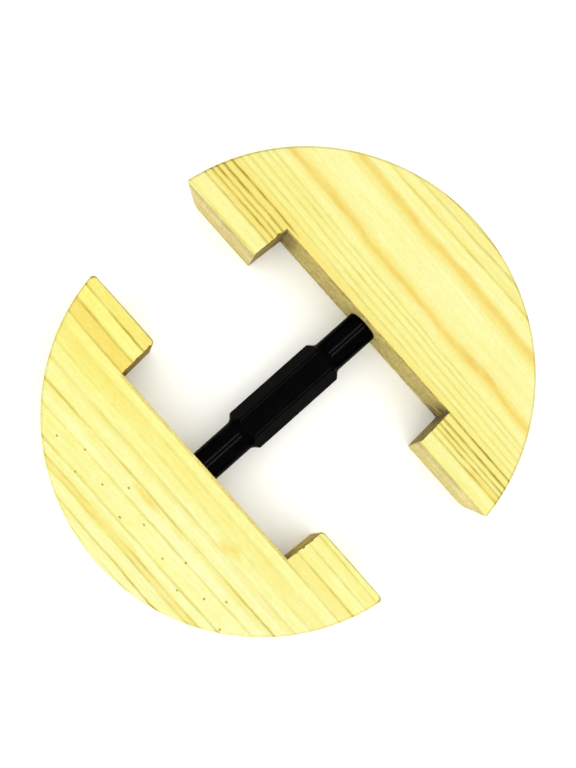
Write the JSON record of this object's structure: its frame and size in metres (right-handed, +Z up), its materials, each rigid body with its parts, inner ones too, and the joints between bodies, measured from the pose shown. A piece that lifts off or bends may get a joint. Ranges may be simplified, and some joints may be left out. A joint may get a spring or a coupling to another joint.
{
  "type": "hat stretcher",
  "caption": "Wooden hat stretcher: two notched D-shaped pine halves with a tapered rim, pushed apart by a black hex turnbuckle on opposed threaded rods.",
  "frame": {"origin": "middle of the closed stretcher's box, at the underside of the boards", "axes": "+X along the rods towards the wide half, +Y from leg to leg, +Z up, away from the tapered side of the rim"},
  "size_m": [0.1818, 0.1594, 0.023],
  "materials": {
    "pine": "bare sanded pine, saw-cut notch walls",
    "black_steel": "semi-gloss black coating",
    "zinc_steel": "zinc-plated, threaded"
  },
  "bodies": {
    "wide_half": {"wide_half": "pine", "right_hand_rod": "zinc_steel"},
    "turn_carrier": {"wide_half_insert": "zinc_steel"},
    "turnbuckle": {"turnbuckle": "black_steel"},
    "narrow_half": {"narrow_half": "pine", "narrow_half_insert": "zinc_steel", "left_hand_rod": "zinc_steel"}
  },
  "joints": [
    {"name": "halves_spread", "type": "slide", "parent": "wide_half", "child": "narrow_half", "axis": [-1, 0, 0], "range_m": [0, 0.0515]},
    {"name": "turnbuckle_turn", "type": "hinge", "parent": "wide_half", "child": "turn_carrier", "pos_m": [-0.002, 0, 0.0115], "axis": [-1, 0, 0], "range_deg": [0, 7416]},
    {"name": "turnbuckle_travel", "type": "slide", "parent": "turn_carrier", "child": "turnbuckle", "axis": [-1, 0, 0], "range_m": [0, 0.02575]}
  ],
  "couplings": [
    {"joint": "turnbuckle_turn", "follows": "halves_spread", "rad_per_m": 2513.3},
    {"joint": "turnbuckle_travel", "follows": "halves_spread", "ratio": 0.5}
  ]
}
